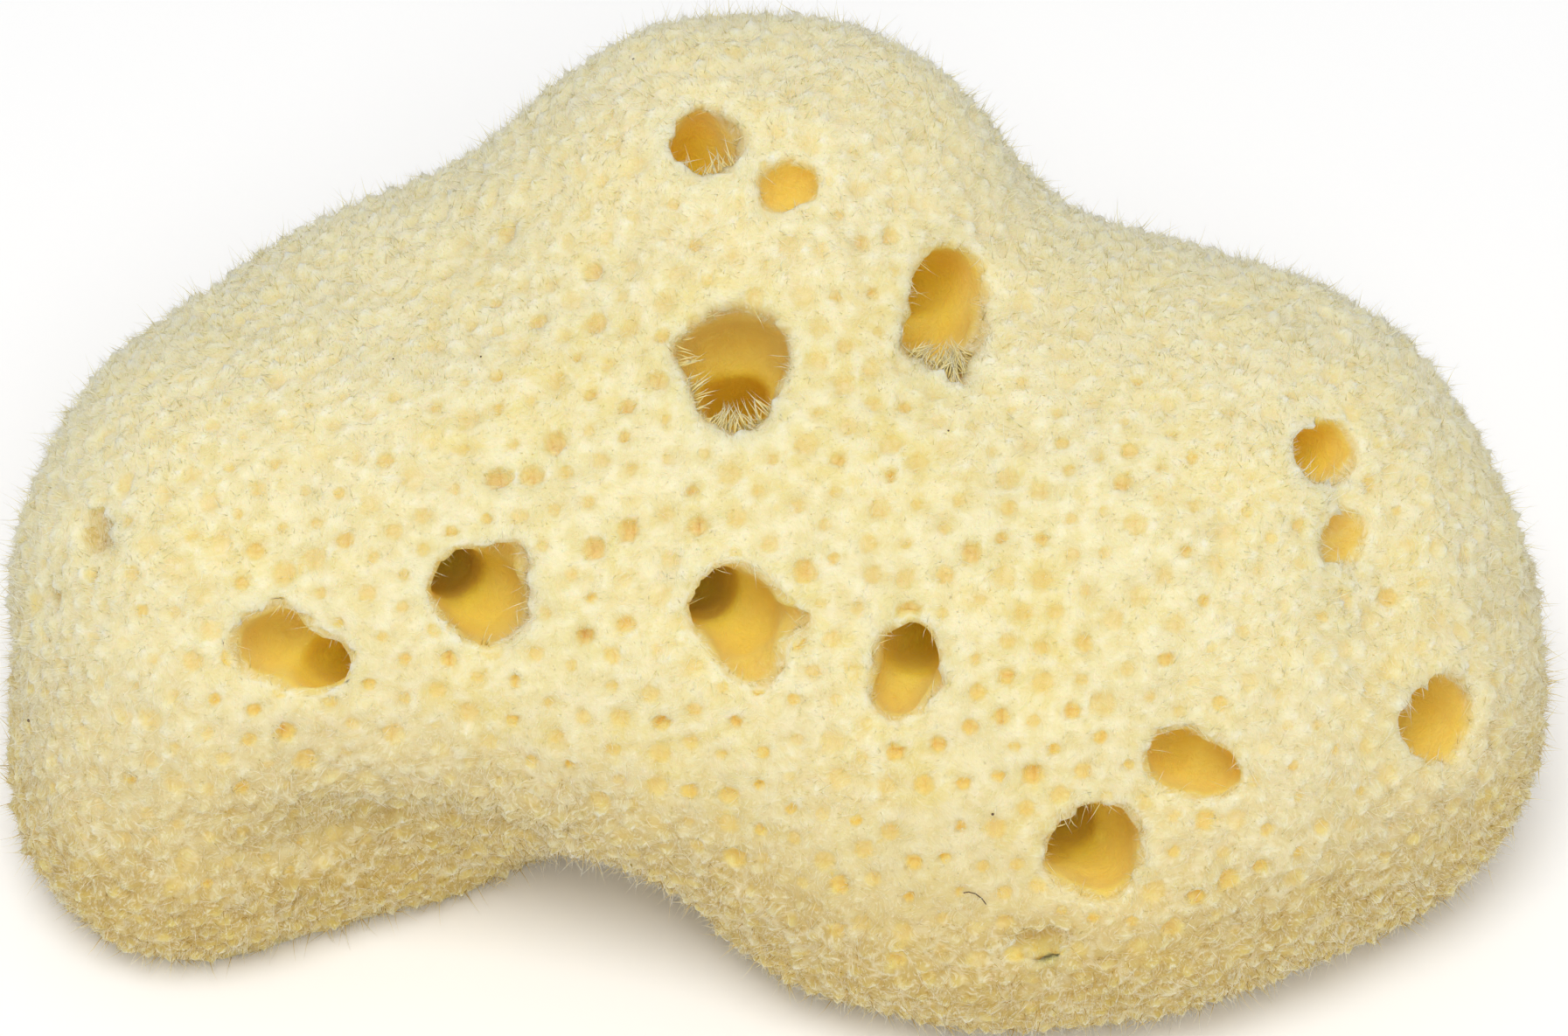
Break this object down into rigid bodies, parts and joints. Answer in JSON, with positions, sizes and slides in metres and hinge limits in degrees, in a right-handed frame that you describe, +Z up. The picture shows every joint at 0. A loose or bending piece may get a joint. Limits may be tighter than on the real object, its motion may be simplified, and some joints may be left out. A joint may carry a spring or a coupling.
{
  "type": "sea sponge",
  "caption": "Small natural bath sponge of fine silk grade: rounded lobes, soft downy skin with small pores, scattered larger round channels, flat cut base.",
  "frame": {"origin": "middle of the sponge's outline on the plane of its flat cut base", "axes": "+X along the length, from the smaller lobe to the larger; +Y from the broad pored face to the back; +Z up from the cut base"},
  "size_m": [0.0988, 0.06, 0.0469],
  "materials": {
    "spongin": "matte"
  },
  "bodies": {
    "root": {"sponge": "spongin"}
  },
  "joints": []
}
